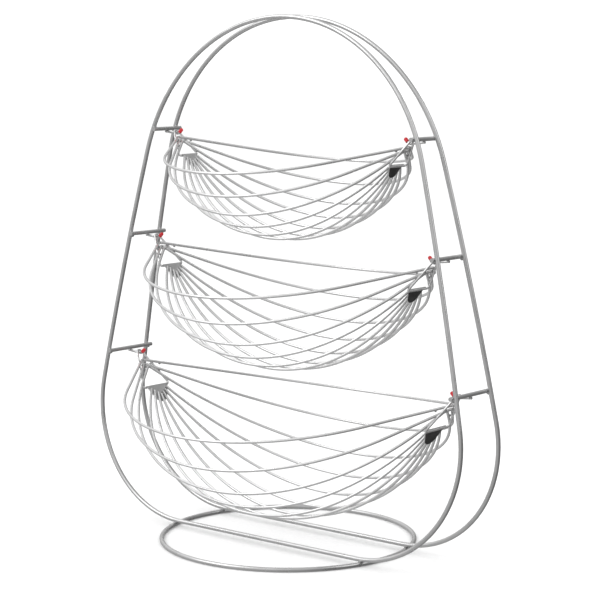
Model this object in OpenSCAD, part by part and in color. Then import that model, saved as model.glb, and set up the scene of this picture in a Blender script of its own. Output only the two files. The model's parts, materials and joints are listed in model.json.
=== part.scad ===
// Three-tier wire hammock stand for fruit and vegetables.
// Two pear-shaped wire loops lean together over a round base ring. Cross rods tie their legs,
// and a capped hook under each rod carries one end of a swinging, boat-shaped wire basket.
// Millimetres. +X runs along the baskets, -Y is the front, +Z is up, and the ground is Z = 0.
// Each list of three holds the top, middle and bottom tier, in that order.

/* [Frame] */
// Overall height of the stand
stand_height = 560; // [545:5:575]
// Wire diameter of the frame loops and the base ring
frame_wire = 4.8; // [4.4:0.2:5.2]
// Radius of the round top of each frame loop
top_radius = 193.6; // [190:0.2:196]
// Lean of the legs from upright where they leave the round top
leg_lean = 14.6; // [14:0.2:15.2]
// Radius of the slow outward bow of the legs
leg_bow_radius = 4000; // [3500:100:5000]
// Radius of the round lower corners
foot_radius = 124; // [118:1:130]
// Distance between the wires of the two loops at the top
top_gap = 22.4; // [18:0.4:30]
// Distance between the wires of the two loops at the foot
foot_gap = 78; // [70:1:86]
// Diameter of the base ring, at the middle of its wire
ring_diameter = 272; // [260:2:284]

/* [Cross rods and hooks] */
// Height of the cross rods of each tier
rod_height = [436, 319, 185]; // [180:1:440]
// Wire diameter of the cross rods
rod_wire = 4.4; // [4:0.2:4.8]
// How far a cross rod stands past each leg
rod_overhang = 4; // [3:0.5:6]
// Wire diameter of the hooks
hook_wire = 2.8; // [2.6:0.1:3]
// Distance from a cross rod in to the point where the basket hangs
hook_reach = 15.5; // [15:0.5:17]
// Droop of the hook's straight run from level
hook_droop = 6; // [5:1:8]
// Rise of the hook's tip from level
hook_rise = 45; // [40:1:50]
// Bend radius between the hook's straight run and its tip
hook_bend = 3; // [2.5:0.5:4]
// Outer diameter of the vinyl cap on a hook's tip
cap_diameter = 4.2; // [4:0.1:4.6]
// Length of the vinyl cap
cap_length = 5.5; // [5.2:0.1:6.5]

/* [Baskets] */
// Drop from the cross rods to the lowest rib of each basket
basket_drop = [111, 132, 157]; // [105:1:160]
// Half width across the middle of each rim
basket_half_width = [129, 145, 164]; // [120:1:170]
// Height of the middle of each rim above the lowest rib
rim_height = [76, 91, 108]; // [70:1:112]
// Wire diameter of the closed side wires and the ribs
basket_wire = 3; // [2.6:0.1:3]
// Angle at which the rim, upper and lower side wires leave the hanger
side_start_angle = [56, 58, 67]; // [54:1:70]
// Half width of a side wire's rounded corner
corner_half_width = 2.5; // [2:0.1:3]
// Angle step from rib to rib, as a share of the angle from the lowest rib to the rim
rib_step = 0.157; // [0.15:0.001:0.16]
// Angle step from side wire to side wire, as the same share
side_step = 0.186; // [0.18:0.001:0.19]

/* [Hangers and end plates] */
// Wire diameter of the hangers
hanger_wire = 2.4; // [2.2:0.1:2.6]
// Height of each hanger along its slope, between the middles of its wires
hanger_height = [32.5, 40, 47]; // [32:0.5:48]
// Slope of the hangers from level
hanger_slope = 55; // [54:1:57]
// Angle of a hanger's legs from its middle line
hanger_spread = 22; // [21:1:23]
// Radius of a hanger's base corners
hanger_corner = 3; // [2.5:0.5:4]
// Length of each end plate down its slope
plate_length = [15.5, 17.5, 20.5]; // [15:0.5:22]
// Slope of the end plates from level
plate_slope = 61; // [60:1:62]
// Thickness of the end plates
plate_thickness = 1; // [0.8:0.1:1.2]
// Distance between the ends of neighbouring ribs on an end plate
rib_pitch = [3.2, 3.5, 3.9]; // [3.2:0.1:4]

/* [Hidden] */
TIERS = ["top", "middle", "bottom"];
PARTS = [
    "left_cross_rod", "right_cross_rod", "left_hook", "right_hook", "hook_caps",
    "basket_rim_wire", "basket_upper_side_wire", "basket_lower_side_wire",
    "basket_left_hanger", "basket_right_hanger",
    "basket_left_end_plate", "basket_right_end_plate",
    "basket_rib_1", "basket_rib_2", "basket_rib_3", "basket_rib_4",
    "basket_rib_5", "basket_rib_6", "basket_rib_7"
];

FRONT = -1;
BACK = 1;
LEFT = -1;
RIGHT = 1;
RIM = 0;
UPPER = 1;
LOWER = 2;
MIDDLE_RIB = 4;

// Facets of a full turn of a bend, and around a wire
BEND_FACETS = 120;
WIRE_FACETS = 24;
// Facets of an end plate's round lower end
PLATE_FACETS = 24;
// How far two welded wires sink into each other
WELD = 0.3;
// The bead where two lengths of a run are butted together: extra thickness, and length
BEAD_SWELL = 0.1;
BEAD_LENGTH = 0.6;
// Free space between a basket's hanger and the hook's wire
HANG_CLEARANCE = 0.35;
// Straight tip of a hook beyond its bend, and how far into it the cap begins
TIP_LENGTH = 5.5;
CAP_START = 1;
// How far the first side wire sits down the hanger, and the step to the next, as shares of it
SIDE_SEAT = 0.28;
SIDE_SEAT_STEP = 0.12;
// Radius of an end plate's round lower end, as a share of its top edge's half width
PLATE_ROUND = 0.62;
// How far down its end plate the middle rib begins, and how much higher the next one does,
// as shares of the plate's length
RIB_START = 0.52;
RIB_START_STEP = 0.12;

// ---- Frame -------------------------------------------------------------------------------

loop_top_z = stand_height - frame_wire / 2;
loop_foot_z = 1.5 * frame_wire - WELD;
loop_rise = loop_top_z - loop_foot_z;
loop_inset = (foot_gap - top_gap) / 2;
loop_tilt = atan(loop_inset / loop_rise);
loop_length = norm([loop_rise, loop_inset]);

// A loop is walked from its apex down. Its heading starts level and turns to level again.
top_turn = 90 - leg_lean;
top_drop = top_radius * (1 - cos(top_turn));
leg_end_turn = acos(
    (top_drop + leg_bow_radius * cos(top_turn) + foot_radius - loop_length)
    / (leg_bow_radius - foot_radius)
);
foot_straight = top_radius * sin(top_turn)
    + leg_bow_radius * (sin(leg_end_turn) - sin(top_turn))
    - foot_radius * sin(leg_end_turn);

// How far down the loop's own plane, and at what heading and place, its leg passes height z
function leg_drop(z) = (loop_top_z - z) / cos(loop_tilt);
function leg_heading(z) = let (drop = leg_drop(z))
    drop < top_drop
        ? acos(1 - drop / top_radius)
        : acos(cos(top_turn) - (drop - top_drop) / leg_bow_radius);
function leg_x(z) = leg_drop(z) < top_drop
    ? top_radius * sin(leg_heading(z))
    : top_radius * sin(top_turn) + leg_bow_radius * (sin(leg_heading(z)) - sin(top_turn));
function leg_y(z) = top_gap / 2 + (loop_top_z - z) * tan(loop_tilt);

// ---- Cross rods and hooks ----------------------------------------------------------------

function rod_x(t) = leg_x(rod_height[t])
    - ((frame_wire + rod_wire) / 2 - WELD) / sin(leg_heading(rod_height[t]));
rod_to_hook = ((rod_wire + hook_wire) / 2 - WELD) / cos(hook_droop);

// The seat is the point on the hook's middle line where the basket hangs and swings
function seat_x(t) = rod_x(t) - hook_reach;
function seat_z(t) = rod_height[t] - rod_to_hook - hook_reach * tan(hook_droop);

// ---- Hangers -----------------------------------------------------------------------------

// The hanger's round apex goes over the hook, which passes through its slope at an angle
apex_radius = ((hook_wire + hanger_wire) / 2 + HANG_CLEARANCE)
    / sin(hanger_slope - hook_droop);

// Distance from the seat down the slope to the middle of the base wire
function base_reach(t) = hanger_height[t] - apex_radius;
// Half of the base wire's straight run
function base_half(t) =
    ((base_reach(t) - hanger_corner) * sin(hanger_spread) + apex_radius - hanger_corner)
    / cos(hanger_spread);
function leg_run(t) = base_half(t) * sin(hanger_spread)
    + (base_reach(t) - hanger_corner) * cos(hanger_spread);
// Half width of the hanger at a distance down its slope from the apex
function hanger_half_at(down) =
    ((down - apex_radius) * sin(hanger_spread) + apex_radius) / cos(hanger_spread);

// How far off the base wire's middle line the end plate's sheet begins
plate_seat = hanger_wire / 2 - WELD;

function base_x(t) = seat_x(t) - base_reach(t) * cos(hanger_slope);
function base_z(t) = seat_z(t) - base_reach(t) * sin(hanger_slope);

// ---- Basket section ----------------------------------------------------------------------

// Across its middle a basket's wires lie on one round arc, rising from the lowest rib
function section_radius(t) =
    (pow(basket_half_width[t], 2) + pow(rim_height[t], 2)) / (2 * rim_height[t]);
function rim_angle(t) = asin(basket_half_width[t] / section_radius(t));
function section_y(t, angle) = section_radius(t) * sin(angle);
function section_z(t, angle) =
    rod_height[t] - basket_drop[t] + section_radius(t) * (1 - cos(angle));
function side_angle(t, k) = rim_angle(t) * (1 - side_step * k);
function rib_angle(t, n) = rim_angle(t) * rib_step * abs(n - MIDDLE_RIB);

// ---- Side wires --------------------------------------------------------------------------

// Place of side wire k's corner: down the hanger's slope, then off it along its normal
function side_down(t, k) = hanger_height[t] * (SIDE_SEAT + SIDE_SEAT_STEP * k);
function corner_x(t, k, off = 0) = seat_x(t)
    + (apex_radius - side_down(t, k)) * cos(hanger_slope) - off * sin(hanger_slope);
function corner_z(t, k, off = 0) = seat_z(t)
    + (apex_radius - side_down(t, k)) * sin(hanger_slope) + off * cos(hanger_slope);

// Outward and downward reach of the wire's half from its corner to its middle, and its tilt
function side_out(t, k) = section_y(t, side_angle(t, k)) - corner_half_width;
function side_fall(t, k, off = 0) = corner_z(t, k, off) - section_z(t, side_angle(t, k));
function side_tilt(t, k, off = 0) = atan(side_fall(t, k, off) / side_out(t, k));

// The corner's offset that makes the wire touch the hanger's legs where it crosses them
function side_offset(t, k) =
    let (
        start = side_start_angle[k],
        tilt = side_tilt(t, k),
        across = sin(start) * cos(tilt),
        fall = sin(start) * sin(tilt),
        down_slope = cos(start) * cos(hanger_slope) + fall * sin(hanger_slope),
        off_slope = cos(start) * sin(hanger_slope) - fall * cos(hanger_slope),
        run = (hanger_half_at(side_down(t, k)) - corner_half_width)
            / (across - down_slope * tan(hanger_spread))
    )
    (hanger_wire + basket_wire) / 2 - WELD - off_slope * run;

// ---- Wire runs ---------------------------------------------------------------------------

// A run is a list of [size, turn] steps drawn in the XY plane from the origin along +X.
// A turn of 0 is a straight of that length, and any other turn is an arc of that radius.
function step_end(step) = step[1] == 0
    ? [step[0], 0, 0]
    : [step[0] * sin(abs(step[1])), sign(step[1]) * step[0] * (1 - cos(step[1])), 0];

module wire_arc(radius, turn, wire) {
    rotate([0, 0, -90])
        rotate_extrude(angle = turn, $fn = BEND_FACETS)
            translate([radius, 0])
                circle(d = wire, $fn = WIRE_FACETS);
}

module wire_step(step, wire) {
    if (step[1] == 0)
        rotate([0, 90, 0]) cylinder(h = step[0], d = wire, $fn = WIRE_FACETS);
    else if (step[1] > 0)
        translate([0, step[0], 0]) wire_arc(step[0], step[1], wire);
    else
        mirror([0, 1, 0]) translate([0, step[0], 0]) wire_arc(step[0], -step[1], wire);
}

module bead(wire) {
    rotate([0, 90, 0])
        cylinder(h = BEAD_LENGTH, d = wire + BEAD_SWELL, center = true, $fn = WIRE_FACETS);
}

// A closed run comes back to its start, so it has a bead there too
module wire_run(steps, wire, closed = false, first = 0) {
    if (first < len(steps)) {
        wire_step(steps[first], wire);
        if (closed || first > 0)
            bead(wire);
        translate(step_end(steps[first]))
            rotate([0, 0, steps[first][1]])
                wire_run(steps, wire, closed, first + 1);
    }
}

// A symmetric bow between points at +-half_length on a level line, bulging to the front.
// It bulges by reach, in the plane that tilts down from level by tilt. Its straight ends leave
// the line at start_angle and are tangent to one round arc.
module bow(half_length, reach, tilt, start_angle, closed = false) {
    det = cos(start_angle) * (1 - cos(start_angle)) - pow(sin(start_angle), 2);
    straight = (half_length * (1 - cos(start_angle)) - reach * sin(start_angle)) / det;
    radius = (cos(start_angle) * reach - sin(start_angle) * half_length) / det;
    arc = [radius, -2 * start_angle];
    steps = straight < 0.01 ? [arc] : [[straight, 0], arc, [straight, 0]];
    rotate([180 + tilt, 0, 0])
        translate([-half_length, 0, 0])
            rotate([0, 0, start_angle])
                wire_run(steps, basket_wire, closed);
}

// The frame of a hanger: origin at the seat, +Y up its slope, +Z off it towards the basket
module on_hanger(t, side) {
    translate([side * seat_x(t), 0, seat_z(t)])
        rotate([0, 0, -90 * side])
            rotate([hanger_slope, 0, 0])
                children();
}

// The frame of an end plate: origin at the hanger's base wire, axes as for the hanger
module on_plate(t, side) {
    translate([side * base_x(t), 0, base_z(t)])
        rotate([0, 0, -90 * side])
            rotate([plate_slope, 0, 0])
                children();
}

// ---- Frame parts -------------------------------------------------------------------------

module frame_loop(side) {
    foot = [foot_radius, 180 - leg_end_turn];
    leg = [leg_bow_radius, leg_end_turn - top_turn];
    color("silver")
        translate([-foot_straight, side * foot_gap / 2, loop_foot_z])
            rotate([90 + side * loop_tilt, 0, 0])
                wire_run(
                    [[2 * foot_straight, 0], foot, leg, [top_radius, 2 * top_turn], leg, foot],
                    frame_wire,
                    closed = true
                );
}

module base_ring() {
    color("silver")
        translate([0, 0, frame_wire / 2])
            rotate_extrude($fn = BEND_FACETS)
                translate([ring_diameter / 2, 0])
                    circle(d = frame_wire, $fn = WIRE_FACETS);
}

module cross_rod(t, side) {
    reach = leg_y(rod_height[t]) + rod_overhang;
    color("silver")
        translate([side * rod_x(t), reach, rod_height[t]])
            rotate([90, 0, 0])
                cylinder(h = 2 * reach, d = rod_wire, $fn = WIRE_FACETS);
}

// The frame of a hook: origin under the cross rod, +X inwards along the droop, +Y up
module on_hook(t, side) {
    mirror([side == RIGHT ? 1 : 0, 0, 0])
        translate([-rod_x(t), 0, rod_height[t] - rod_to_hook])
            rotate([90, 0, 0])
                rotate([0, 0, -hook_droop])
                    children();
}

hook_straight = hook_reach / cos(hook_droop) + 0.5;
hook_turn = hook_droop + hook_rise;

module hook(t, side) {
    color("silver")
        on_hook(t, side)
            translate([-rod_wire / 2, 0, 0])
                wire_run(
                    [[hook_straight + rod_wire / 2, 0], [hook_bend, hook_turn], [TIP_LENGTH, 0]],
                    hook_wire
                );
}

// A domed sleeve closed over the hook's tip
module hook_cap(t, side) {
    color("firebrick")
        on_hook(t, side)
            translate([hook_straight, 0, 0] + step_end([hook_bend, hook_turn]))
                rotate([0, 0, hook_turn])
                    rotate([0, 90, 0])
                        difference() {
                            union() {
                                translate([0, 0, CAP_START])
                                    cylinder(h = cap_length - cap_diameter / 2, d = cap_diameter);
                                translate([0, 0, CAP_START + cap_length - cap_diameter / 2])
                                    sphere(d = cap_diameter);
                            }
                            cylinder(h = TIP_LENGTH, d = hook_wire);
                        }
}

module hook_caps(t) {
    hook_cap(t, LEFT);
    hook_cap(t, RIGHT);
}

// ---- Basket parts ------------------------------------------------------------------------

// A closed wire: front and back bows joined by a small round corner inside each hanger
module side_wire(t, k) {
    off = side_offset(t, k);
    x = corner_x(t, k, off);
    z = corner_z(t, k, off);
    reach = norm([side_out(t, k), side_fall(t, k, off)]);
    tilt = side_tilt(t, k, off);
    start = side_start_angle[k];
    // The corner's arc lies in the plane of the two bows' end directions
    inward = cos(start);
    fall = sin(start) * sin(tilt);
    corner_turn = asin(norm([inward, fall]));
    corner_radius = corner_half_width / sin(corner_turn);
    color("silver")
        for (half_turn = [0, 180])
            rotate([0, 0, half_turn])
                translate([0, 0, z]) {
                    translate([0, -corner_half_width, 0])
                        bow(x, reach, tilt, start, closed = true);
                    translate([x, 0, 0])
                        rotate([0, 0, -90])
                            rotate([atan2(fall, inward), 0, 0])
                                translate([corner_half_width, 0, 0])
                                    rotate([0, 0, 180 - corner_turn])
                                        wire_run([[corner_radius, 2 * corner_turn]], basket_wire, true);
                }
}

// A rib lies on the basket side of both end plates
module rib(t, n) {
    down = plate_length[t] * (RIB_START - RIB_START_STEP * abs(n - MIDDLE_RIB));
    off = plate_seat + plate_thickness + basket_wire / 2 - WELD;
    x = base_x(t) - down * cos(plate_slope) - off * sin(plate_slope);
    z = base_z(t) - down * sin(plate_slope) + off * cos(plate_slope);
    y = rib_pitch[t] * abs(n - MIDDLE_RIB);
    out = section_y(t, rib_angle(t, n)) - y;
    fall = z - section_z(t, rib_angle(t, n));
    reach = norm([out, fall]);
    color("silver")
        rotate([0, 0, n < MIDDLE_RIB ? 0 : 180])
            translate([0, -y, z])
                bow(x, reach, atan2(fall, out), 2 * atan(reach / x));
}

// A closed triangle of wire with a round apex over the hook
module hanger(t, side) {
    corner = [hanger_corner, 90 + hanger_spread];
    leg = [leg_run(t), 0];
    apex = [apex_radius, 180 - 2 * hanger_spread];
    color("silver")
        on_hanger(t, side)
            translate([-base_half(t), -base_reach(t), 0])
                wire_run([[2 * base_half(t), 0], corner, leg, apex, leg, corner], hanger_wire, closed = true);
}

// Outline of an end plate: straight top edge, sides drawn in to a round lower end
module plate_outline(t) {
    half_top = base_half(t);
    round = half_top * PLATE_ROUND;
    middle = plate_length[t] - round;
    far = norm([half_top, middle]);
    // Where the side, drawn from the top corner, touches the round end
    touch = atan2(middle, half_top) - acos(round / far);
    polygon(concat(
        [[-half_top, 0], [half_top, 0]],
        [for (i = [0:PLATE_FACETS])
            let (angle = touch - (180 + 2 * touch) * i / PLATE_FACETS)
                [round * cos(angle), -middle + round * sin(angle)]]
    ));
}

// A flat sheet welded along its top edge to the basket side of the hanger's base wire
module end_plate(t, side) {
    color("gray")
        on_plate(t, side)
            translate([0, hanger_wire / 2, plate_seat])
                linear_extrude(height = plate_thickness)
                    plate_outline(t);
}

// ---- Nodes -------------------------------------------------------------------------------

frame_loop(FRONT);  // front_frame_loop
frame_loop(BACK);  // back_frame_loop
base_ring();

for (t = [0:2]) {
    tier = str(TIERS[t], "_");
    basket = str(TIERS[t], "_basket_");
    cross_rod(t, LEFT);
    cross_rod(t, RIGHT);
    hook(t, LEFT);
    hook(t, RIGHT);
    hook_caps(t);
    side_wire(t, RIM);
    side_wire(t, UPPER);
    side_wire(t, LOWER);
    hanger(t, LEFT);
    hanger(t, RIGHT);
    end_plate(t, LEFT);
    end_plate(t, RIGHT);
    for (n = [1:7])
        rib(t, n);
}
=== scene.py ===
# Looks of the three-tier wire fruit basket stand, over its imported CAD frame. Metres, +Z up.
import json
import math

import bmesh
import bpy
from mathutils import Matrix, Vector, noise
from mathutils.bvhtree import BVHTree


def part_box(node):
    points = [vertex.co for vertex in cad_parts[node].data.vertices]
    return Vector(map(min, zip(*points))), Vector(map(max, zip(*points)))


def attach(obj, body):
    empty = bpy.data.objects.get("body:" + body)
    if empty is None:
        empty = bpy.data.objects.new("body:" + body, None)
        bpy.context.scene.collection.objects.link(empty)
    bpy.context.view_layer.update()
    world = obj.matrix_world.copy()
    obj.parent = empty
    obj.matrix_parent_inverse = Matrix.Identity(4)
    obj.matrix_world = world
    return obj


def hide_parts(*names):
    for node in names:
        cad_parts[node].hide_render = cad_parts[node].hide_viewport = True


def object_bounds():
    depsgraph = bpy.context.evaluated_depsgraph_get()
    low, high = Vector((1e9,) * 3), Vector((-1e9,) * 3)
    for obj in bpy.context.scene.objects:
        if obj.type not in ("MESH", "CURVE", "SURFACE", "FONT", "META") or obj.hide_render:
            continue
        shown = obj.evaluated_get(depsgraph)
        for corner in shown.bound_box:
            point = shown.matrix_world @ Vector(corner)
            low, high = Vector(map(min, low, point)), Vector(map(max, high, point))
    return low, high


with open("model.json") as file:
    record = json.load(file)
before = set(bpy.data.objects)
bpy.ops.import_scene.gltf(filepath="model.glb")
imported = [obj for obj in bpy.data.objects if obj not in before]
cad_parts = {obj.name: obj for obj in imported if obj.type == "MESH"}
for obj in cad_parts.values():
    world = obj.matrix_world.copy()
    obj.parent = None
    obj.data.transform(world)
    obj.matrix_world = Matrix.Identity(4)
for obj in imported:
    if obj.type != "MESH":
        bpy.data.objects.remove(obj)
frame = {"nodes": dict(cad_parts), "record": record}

CAD_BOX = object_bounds()
NODES = frame["nodes"]
BEHAVIOUR = frame["record"]["behaviour"]
BODY_OF = {node: body for body, nodes in BEHAVIOUR["bodies"].items() for node in nodes}

MM = 0.001
TIERS = ("top", "middle", "bottom")
LEFT, RIGHT = -1, 1
SIDES = {"left": LEFT, "right": RIGHT}

# Sizes that the CAD model also has
HANGER_WIRE = 2.4 * MM
BEAD_SWELL = 0.1 * MM
WELD = 0.3 * MM
PLATE_SLOPE = math.radians(61)
PLATE_THICKNESS = 1.0 * MM
PLATE_ROUND = 0.62
CAP_RISE = math.radians(45)
CAP_RADIUS = 2.1 * MM
CAP_LENGTH = 5.5 * MM

# ---- Materials ---------------------------------------------------------------------------


class Shader:
    """A small helper around one node-based material."""

    def __init__(self, name, **constants):
        self.material = bpy.data.materials.new(name)
        self.material.use_nodes = True
        self.tree = self.material.node_tree
        self.bsdf = self.tree.nodes["Principled BSDF"]
        for socket, value in constants.items():
            self.bsdf.inputs[socket.replace("_", " ")].default_value = value
        self.place = self.add("ShaderNodeTexCoord").outputs["Object"]

    def add(self, kind):
        return self.tree.nodes.new(kind)

    def link(self, output, target):
        self.tree.links.new(output, target)

    def noise(self, scale, detail=4.0, stretch=None):
        """Noise in the piece's own space; stretch multiplies the scale along each axis."""
        place = self.place
        if stretch:
            mapping = self.add("ShaderNodeMapping")
            mapping.inputs["Scale"].default_value = stretch
            self.link(place, mapping.inputs["Vector"])
            place = mapping.outputs["Vector"]
        node = self.add("ShaderNodeTexNoise")
        node.inputs["Scale"].default_value = scale
        node.inputs["Detail"].default_value = detail
        self.link(place, node.inputs["Vector"])
        return node.outputs["Fac"]

    def ramp(self, factor, *stops):
        """Colours by position along factor; a plain number stands for a grey."""
        node = self.add("ShaderNodeValToRGB")
        elements = node.color_ramp.elements
        while len(elements) < len(stops):
            elements.new(0.5)
        for element, (position, colour) in zip(elements, stops):
            element.position = position
            element.color = grey(colour) if isinstance(colour, float) else colour
        self.link(factor, node.inputs["Fac"])
        return node.outputs["Color"]

    def span(self, factor, low, high):
        """Spread the middle of a noise, where nearly all of it lies, over low to high."""
        node = self.add("ShaderNodeMapRange")
        node.inputs["From Min"].default_value = 0.3
        node.inputs["From Max"].default_value = 0.7
        node.inputs["To Min"].default_value = low
        node.inputs["To Max"].default_value = high
        self.link(factor, node.inputs["Value"])
        return node.outputs["Result"]

    def bump(self, height, strength, distance, after=None):
        node = self.add("ShaderNodeBump")
        node.inputs["Strength"].default_value = strength
        node.inputs["Distance"].default_value = distance
        self.link(height, node.inputs["Height"])
        if after:
            self.link(after, node.inputs["Normal"])
        return node.outputs["Normal"]

    def finish(self, colour=None, roughness=None, normal=None):
        pairs = (("Base Color", colour), ("Roughness", roughness), ("Normal", normal))
        for socket, output in pairs:
            if output:
                self.link(output, self.bsdf.inputs[socket])
        return self.material


def grey(value):
    return (value, value, value, 1.0)


def wire_chrome(name, dull, bright):
    """Bright plate over drawn wire: faint cloudiness and a fine grain."""
    shader = Shader(name, Metallic=1.0)
    cloud = shader.noise(38.0)
    grain = shader.noise(900.0, detail=2.0)
    colour = shader.ramp(cloud, (0.25, dull), (0.75, bright))
    normal = shader.bump(cloud, 0.08, 0.3 * MM)
    normal = shader.bump(grain, 0.05, 0.04 * MM, after=normal)
    return shader.finish(colour, shader.span(cloud, 0.24, 0.33), normal)


def weld_metal():
    """Plated weld flash: rougher and a little darker than the wire."""
    shader = Shader("weld_metal", Metallic=1.0)
    lumps = shader.noise(1500.0)
    colour = shader.ramp(lumps, (0.3, 0.34), (0.75, 0.6))
    return shader.finish(colour, shader.span(lumps, 0.3, 0.5), shader.bump(lumps, 0.5, 0.15 * MM))


def plate_inside():
    """Satin plated sheet with fine rolling lines across its width."""
    shader = Shader("plate_inside", Metallic=1.0)
    lines = shader.noise(500.0, detail=3.0, stretch=(4.0, 0.25, 4.0))
    cloud = shader.noise(90.0)
    colour = shader.ramp(cloud, (0.3, 0.64), (0.7, 0.76))
    return shader.finish(colour, shader.span(lines, 0.34, 0.5), shader.bump(lines, 0.2, 0.05 * MM))


def plate_outside():
    """The sheet's outer face, painted near black as painted shade, with a fine mottle."""
    shader = Shader("plate_outside", Metallic=0.85)
    mottle = shader.noise(700.0, detail=5.0)
    cloud = shader.noise(120.0)
    colour = shader.ramp(cloud, (0.3, 0.045), (0.7, 0.085))
    normal = shader.bump(mottle, 0.35, 0.08 * MM)
    return shader.finish(colour, shader.span(mottle, 0.38, 0.6), normal)


def cap_vinyl():
    """Dip-moulded soft vinyl: saturated red, semi-gloss, slightly wavy skin."""
    shader = Shader(
        "cap_vinyl",
        Subsurface_Weight=0.08,
        Subsurface_Scale=0.8 * MM,
        Specular_IOR_Level=0.5,
    )
    waves = shader.noise(420.0, detail=2.0)
    deep_red = (0.40, 0.012, 0.018, 1.0)
    bright_red = (0.56, 0.022, 0.03, 1.0)
    colour = shader.ramp(waves, (0.3, deep_red), (0.7, bright_red))
    return shader.finish(colour, shader.span(waves, 0.26, 0.4), shader.bump(waves, 0.3, 0.2 * MM))


def floor_paper():
    """Seamless studio paper."""
    shader = Shader("floor_paper", Roughness=0.85, Specular_IOR_Level=0.2)
    fibre = shader.noise(260.0, detail=6.0)
    colour = shader.ramp(fibre, (0.3, 0.86), (0.7, 0.9))
    return shader.finish(colour, None, shader.bump(fibre, 0.05, 0.1 * MM))


# ---- Mesh helpers ------------------------------------------------------------------------


def new_piece(name, bm, materials, body):
    """A smooth-shaded object from bm, riding on a body."""
    mesh = bpy.data.meshes.new(name)
    bmesh.ops.recalc_face_normals(bm, faces=bm.faces)
    bm.to_mesh(mesh)
    bm.free()
    mesh.polygons.foreach_set("use_smooth", [True] * len(mesh.polygons))
    piece = bpy.data.objects.new(name, mesh)
    bpy.context.scene.collection.objects.link(piece)
    for material in materials:
        mesh.materials.append(material)
    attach(piece, body)
    return piece


def skin(bm, rows):
    """Faces between rows of points, each row being a closed ring."""
    verts = [[bm.verts.new(point) for point in row] for row in rows]
    faces = []
    columns = len(rows[0])
    for above, below in zip(verts, verts[1:]):
        for j in range(columns):
            k = (j + 1) % columns
            faces.append(bm.faces.new((above[j], above[k], below[k], below[j])))
    return verts, faces


# ---- Wires -------------------------------------------------------------------------------

END_ROUNDING = 0.6 * MM


def dress_wires(frame_chrome, basket_chrome):
    """The wires keep their CAD shape and get the chrome, the frame's copy painted darker as
    painted shade and the basket's copy painted lighter as painted light; the cut ends are rounded
    over.
    """
    for node, piece in NODES.items():
        piece.data.materials.clear()
        piece.data.materials.append(basket_chrome if "basket" in node else frame_chrome)
        if "rod" in node or "hook" in node:
            bevel = piece.modifiers.new("rounded_ends", "BEVEL")
            bevel.width = END_ROUNDING
            bevel.segments = 3
            bevel.limit_method = "ANGLE"
            bevel.angle_limit = math.radians(60)


# ---- Welds -------------------------------------------------------------------------------

# Welds nearer to each other than this are one weld
WELDS_APART = 4 * MM
# Radius of the flash where the thinner wire is one of these
FLASH_RADIUS = {"basket": 1.35 * MM, "hook": 1.5 * MM, "rod": 2.2 * MM, "loop": 2.1 * MM}
FLASH_LUMPS_PER_METRE = 900
FLASH_LUMP_SHARE = 0.16


def tree_of(node):
    """A node's surface as a search tree, with its points and triangles."""
    mesh = NODES[node].data
    mesh.calc_loop_triangles()
    triangles = [tuple(t.vertices) for t in mesh.loop_triangles]
    points = [v.co.copy() for v in mesh.vertices]
    return BVHTree.FromPolygons(points, triangles), points, triangles


def crossings(one, other, trees):
    """Places where two nodes' surfaces cross, one for each separate weld."""
    for node in (one, other):
        if node not in trees:
            trees[node] = tree_of(node)
    tree, points, triangles = trees[one]
    groups = []
    for index, _ in tree.overlap(trees[other][0]):
        corners = [points[v] for v in triangles[index]]
        centre = sum(corners, Vector()) / 3
        # A long facet's own middle can be far from the weld, so its nearest end is used
        near = trees[other][0].find_nearest(centre)[0]
        for group in groups:
            if (group[0] - near).length < WELDS_APART:
                group.append(near)
                break
        else:
            groups.append([near])
    return [sum(group, Vector()) / len(group) for group in groups]


def weld_nugget(name, centre, radius, body, material):
    """A small lumpy bead of flash squeezed out where two wires are welded."""
    bm = bmesh.new()
    bmesh.ops.create_icosphere(bm, subdivisions=3, radius=radius)
    for vert in bm.verts:
        lump = noise.noise((centre + vert.co) * FLASH_LUMPS_PER_METRE)
        vert.co *= 1.0 + FLASH_LUMP_SHARE * lump
        vert.co += centre
    new_piece(name, bm, [material], body)


def weld_radius(one, other):
    """About half of the thinner wire, which the nodes' names tell."""
    return min(size for word, size in FLASH_RADIUS.items() if word in one or word in other)


def add_welds(material):
    """Flash at every weld between two wires."""
    trees = {}
    count = 0
    for one, other in BEHAVIOUR["press_fits"]:
        if "plate" in one + other or "caps" in one + other:
            continue
        radius = weld_radius(one, other)
        for centre in crossings(one, other, trees):
            count += 1
            weld_nugget(f"weld_{count:03d}", centre, radius, BODY_OF[one], material)


# ---- End plates --------------------------------------------------------------------------

FLAT_ROWS = 6
ROUND_ROWS = 10
COLUMNS = 16
# The round end's last row stops just short of its lowest point, so it still has a width
ROUND_END_ANGLE = math.radians(-88)
# How far the sheet's sides are curled in, and how far down it takes to reach that
DISH = 0.6 * MM
DISH_RUN = 4 * MM
EDGE_ROUNDING = 0.15 * MM


def plate_rows(half_top, length):
    """(distance down the slope, half width) from the top edge to the round lower end."""
    round_end = half_top * PLATE_ROUND
    middle = length - round_end
    touch = math.atan2(middle, half_top) - math.acos(round_end / math.hypot(half_top, middle))
    low = (middle - round_end * math.sin(touch), round_end * math.cos(touch))
    rows = []
    for i in range(FLAT_ROWS):
        share = i / FLAT_ROWS
        rows.append((low[0] * share, half_top + (low[1] - half_top) * share))
    for i in range(ROUND_ROWS + 1):
        angle = touch + (ROUND_END_ANGLE - touch) * i / ROUND_ROWS
        rows.append((middle - round_end * math.sin(angle), round_end * math.cos(angle)))
    return rows


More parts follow.
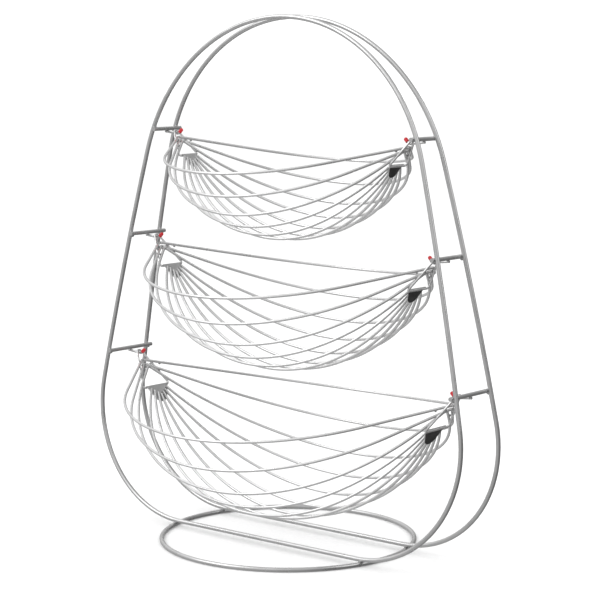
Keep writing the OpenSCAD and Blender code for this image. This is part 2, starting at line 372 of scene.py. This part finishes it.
def end_plate(tier, side_name, materials):
    """A stamped, slightly dished sheet on the basket side of the hanger's base wire."""
    side = SIDES[side_name]
    node = f"{tier}_basket_{side_name}_end_plate"
    hanger_low, hanger_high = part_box(f"{tier}_basket_{side_name}_hanger")
    low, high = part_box(node)
    # The middle of the base wire lies one wire radius, with its beads, inside the hanger's box
    reach = (HANGER_WIRE + BEAD_SWELL) / 2
    inner_x = hanger_low.x if side == RIGHT else hanger_high.x
    base = Vector((inner_x + side * reach, 0, hanger_low.z + reach))
    half_top = (high.y - low.y) / 2
    top = HANGER_WIRE / 2
    seat = HANGER_WIRE / 2 - WELD
    length = top + (base.z + seat * math.cos(PLATE_SLOPE) - low.z) / math.sin(PLATE_SLOPE)
    up = Vector((side * math.cos(PLATE_SLOPE), 0, math.sin(PLATE_SLOPE)))
    inward = Vector((-side * math.sin(PLATE_SLOPE), 0, math.cos(PLATE_SLOPE)))

    rows = []
    for down, half in plate_rows(half_top, length):
        faces = []
        for lift in (seat + PLATE_THICKNESS, seat):
            line = []
            for j in range(COLUMNS + 1):
                across = half * (2 * j / COLUMNS - 1)
                dish = DISH * (across / half_top) ** 2 * min(1.0, down / DISH_RUN)
                point = base + up * (top - down) + inward * (lift + dish)
                line.append(point + Vector((0, across, 0)))
            faces.append(line)
        # Once round the sheet: across its basket side, and back across its outer side
        rows.append(faces[0] + faces[1][::-1])
    bm = bmesh.new()
    verts, faces = skin(bm, rows)
    around = len(rows[0])
    for index, face in enumerate(faces):
        # The outer side takes the second material, the sheet painted near black as painted shade
        outer_side = COLUMNS < index % around < around - 1
        face.material_index = 1 if outer_side else 0
    bm.faces.new(verts[0])
    bm.faces.new(verts[-1])
    name = f"{tier}_{side_name}_stamped_plate"
    piece = new_piece(name, bm, materials, BODY_OF[node])
    edge = piece.modifiers.new("soft_edge", "BEVEL")
    edge.width = EDGE_ROUNDING
    edge.segments = 2
    edge.limit_method = "ANGLE"
    edge.angle_limit = math.radians(50)
    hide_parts(node)


# ---- Hook caps ---------------------------------------------------------------------------

CAP_COLUMNS = 32
CAP_WALL = 0.55 * MM
DOME_STEP = math.radians(9)
DOME_ROWS = 10


def cap_profile():
    """(distance from the open end, radius) of a dipped cap: rolled rim, waist, drip nib."""
    points = [
        (2.5 * MM, CAP_RADIUS - CAP_WALL - 0.25 * MM),
        (0.25 * MM, CAP_RADIUS - CAP_WALL - 0.1 * MM),
        (0.0, CAP_RADIUS - 0.35 * MM),
        (0.05 * MM, CAP_RADIUS - 0.05 * MM),
        (0.45 * MM, CAP_RADIUS),
        (1.0 * MM, CAP_RADIUS - 0.1 * MM),
        (3.0 * MM, CAP_RADIUS - 0.07 * MM),
    ]
    centre = CAP_LENGTH - CAP_RADIUS
    for i in range(DOME_ROWS):
        angle = DOME_STEP * i
        distance = centre + CAP_RADIUS * math.sin(angle)
        points.append((distance, (CAP_RADIUS - 0.02 * MM) * math.cos(angle)))
    points.append((CAP_LENGTH - 0.005 * MM, 0.12 * MM))
    return points


def hook_caps(tier, material):
    """Both red caps of a tier, each placed from the dome of its CAD cap."""
    node = f"{tier}_hook_caps"
    for name, side in SIDES.items():
        corners = [v.co for v in NODES[node].data.vertices if v.co.x * side > 0]
        inner_x = min(abs(c.x) for c in corners)
        top = max(c.z for c in corners)
        dome = Vector((side * (inner_x + CAP_RADIUS), 0, top - CAP_RADIUS))
        along = Vector((-side * math.cos(CAP_RISE), 0, math.sin(CAP_RISE)))
        start = dome - along * (CAP_LENGTH - CAP_RADIUS)
        across = Vector((0, 1, 0))
        third = along.cross(across)
        rows = []
        for distance, radius in cap_profile():
            row = []
            for j in range(CAP_COLUMNS):
                angle = 2 * math.pi * j / CAP_COLUMNS
                spoke = across * math.cos(angle) + third * math.sin(angle)
                row.append(start + along * distance + spoke * radius)
            rows.append(row)
        bm = bmesh.new()
        verts, _ = skin(bm, rows)
        bm.faces.new(verts[-1])
        piece = new_piece(f"{tier}_{name}_vinyl_cap", bm, [material], BODY_OF[node])
        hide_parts(node)


# ---- Stage -------------------------------------------------------------------------------

CAMERA_AZIMUTH = math.radians(39.66)
CAMERA_ELEVATION = math.radians(7.58)
CAMERA_DISTANCE = 2.093
CAMERA_ROLL = math.radians(0.09)
CAMERA_TARGET = Vector((0.0096, 0.0080, 0.2596))
FIELD_OF_VIEW = math.radians(17.31)


def add_camera():
    """A camera aimed at the target from a direction and distance, then rolled about its aim."""
    data = bpy.data.cameras.new("camera")
    data.angle = FIELD_OF_VIEW
    camera = bpy.data.objects.new("camera", data)
    bpy.context.scene.collection.objects.link(camera)
    away = Vector((
        math.sin(CAMERA_AZIMUTH) * math.cos(CAMERA_ELEVATION),
        -math.cos(CAMERA_AZIMUTH) * math.cos(CAMERA_ELEVATION),
        math.sin(CAMERA_ELEVATION),
    ))
    aim = away.to_track_quat("Z", "Y").to_matrix().to_4x4()
    place = Matrix.Translation(CAMERA_TARGET + away * CAMERA_DISTANCE)
    camera.matrix_world = place @ aim @ Matrix.Rotation(CAMERA_ROLL, 4, "Z")
    bpy.context.scene.camera = camera


FLOOR_HALF = 12.0


def add_floor(material):
    """A floor wide enough to reach past every view, hidden from the metal's reflections."""
    bm = bmesh.new()
    bmesh.ops.create_grid(bm, x_segments=1, y_segments=1, size=FLOOR_HALF)
    mesh = bpy.data.meshes.new("floor")
    bm.to_mesh(mesh)
    bm.free()
    floor = bpy.data.objects.new("floor", mesh)
    floor.location.z = CAD_BOX[0][2]
    mesh.materials.append(material)
    bpy.context.scene.collection.objects.link(floor)
    floor.visible_glossy = False


# Both softboxes face the middle of the stand
LIGHT_TARGET = Vector((0.0, 0.0, 0.28))


def add_softbox(name, place, size, power):
    data = bpy.data.lights.new(name, "AREA")
    data.shape = "RECTANGLE"
    data.size, data.size_y = size
    data.energy = power
    light = bpy.data.objects.new(name, data)
    light.location = place
    light.rotation_euler = (LIGHT_TARGET - light.location).to_track_quat("-Z", "Y").to_euler()
    bpy.context.scene.collection.objects.link(light)


# What the eye sees and the floor is lit by: a little over full white
WALL_WHITE = 1.25
# Greys that the metal reflects, from straight down at 0 to straight up at 1
REFLECTED_GREYS = ((0.0, 0.5), (0.3, 0.52), (0.5, 0.56), (0.62, 0.78), (0.8, 1.0))
# Direction of the darker side, the cosines of the angle from it where the shade begins and
# where it is full, and the share of the light that is left there
DARK_SIDE = (0.77, 0.64, 0.0)
DARK_FROM = -0.35
DARK_TO = 0.65
DARK_SHARE = 0.34


def add_world():
    """White to the eye; to the metal, a bright ceiling, a grey ground and one darker side."""
    world = bpy.data.worlds.new("studio")
    world.use_nodes = True
    bpy.context.scene.world = world
    tree = world.node_tree
    nodes, links = tree.nodes, tree.links
    background = nodes["Background"]
    background.inputs["Strength"].default_value = 1.0
    place = nodes.new("ShaderNodeTexCoord")
    split = nodes.new("ShaderNodeSeparateXYZ")
    height = nodes.new("ShaderNodeMapRange")
    height.inputs["From Min"].default_value = -1.0
    height.inputs["From Max"].default_value = 1.0
    ramp = nodes.new("ShaderNodeValToRGB")
    while len(ramp.color_ramp.elements) < len(REFLECTED_GREYS):
        ramp.color_ramp.elements.new(0.5)
    for element, (position, value) in zip(ramp.color_ramp.elements, REFLECTED_GREYS):
        element.position = position
        element.color = grey(value)
    across = nodes.new("ShaderNodeVectorMath")
    across.operation = "DOT_PRODUCT"
    across.inputs[1].default_value = DARK_SIDE
    shade = nodes.new("ShaderNodeMapRange")
    shade.inputs["From Min"].default_value = DARK_FROM
    shade.inputs["From Max"].default_value = DARK_TO
    shade.inputs["To Min"].default_value = 1.0
    shade.inputs["To Max"].default_value = DARK_SHARE
    shaded = nodes.new("ShaderNodeVectorMath")
    shaded.operation = "SCALE"
    rays = nodes.new("ShaderNodeLightPath")
    mix = nodes.new("ShaderNodeMix")
    mix.data_type = "RGBA"
    colour_a, colour_b = [socket for socket in mix.inputs if socket.type == "RGBA"]
    result = [socket for socket in mix.outputs if socket.type == "RGBA"][0]
    colour_a.default_value = grey(WALL_WHITE)
    links.new(place.outputs["Generated"], split.inputs["Vector"])
    links.new(split.outputs["Z"], height.inputs["Value"])
    links.new(height.outputs["Result"], ramp.inputs["Fac"])
    links.new(rays.outputs["Is Glossy Ray"], mix.inputs["Factor"])
    links.new(place.outputs["Generated"], across.inputs[0])
    links.new(across.outputs["Value"], shade.inputs["Value"])
    links.new(ramp.outputs["Color"], shaded.inputs["Vector"])
    links.new(shade.outputs["Result"], shaded.inputs["Scale"])
    links.new(shaded.outputs["Vector"], colour_b)
    links.new(result, background.inputs["Color"])


def build():
    add_camera()
    # One chrome in two copies: the frame's greys are set lower as painted shade, and the basket's
    # greys higher as painted light
    dress_wires(wire_chrome("frame_chrome", 0.6, 0.7), wire_chrome("basket_chrome", 0.77, 0.88))
    add_welds(weld_metal())
    # The sheet's inside face, then its outer face painted near black as painted shade
    sheet = (plate_inside(), plate_outside())
    vinyl = cap_vinyl()
    for tier in TIERS:
        for side_name in SIDES:
            end_plate(tier, side_name, sheet)
        hook_caps(tier, vinyl)
    add_floor(floor_paper())
    add_world()
    add_softbox("key", place=(-1.2, -1.6, 1.9), size=(1.6, 1.6), power=15)
    add_softbox("fill", place=(1.9, 0.5, 1.4), size=(1.4, 1.8), power=8)
    bpy.context.scene.view_settings.view_transform = "Standard"


build()
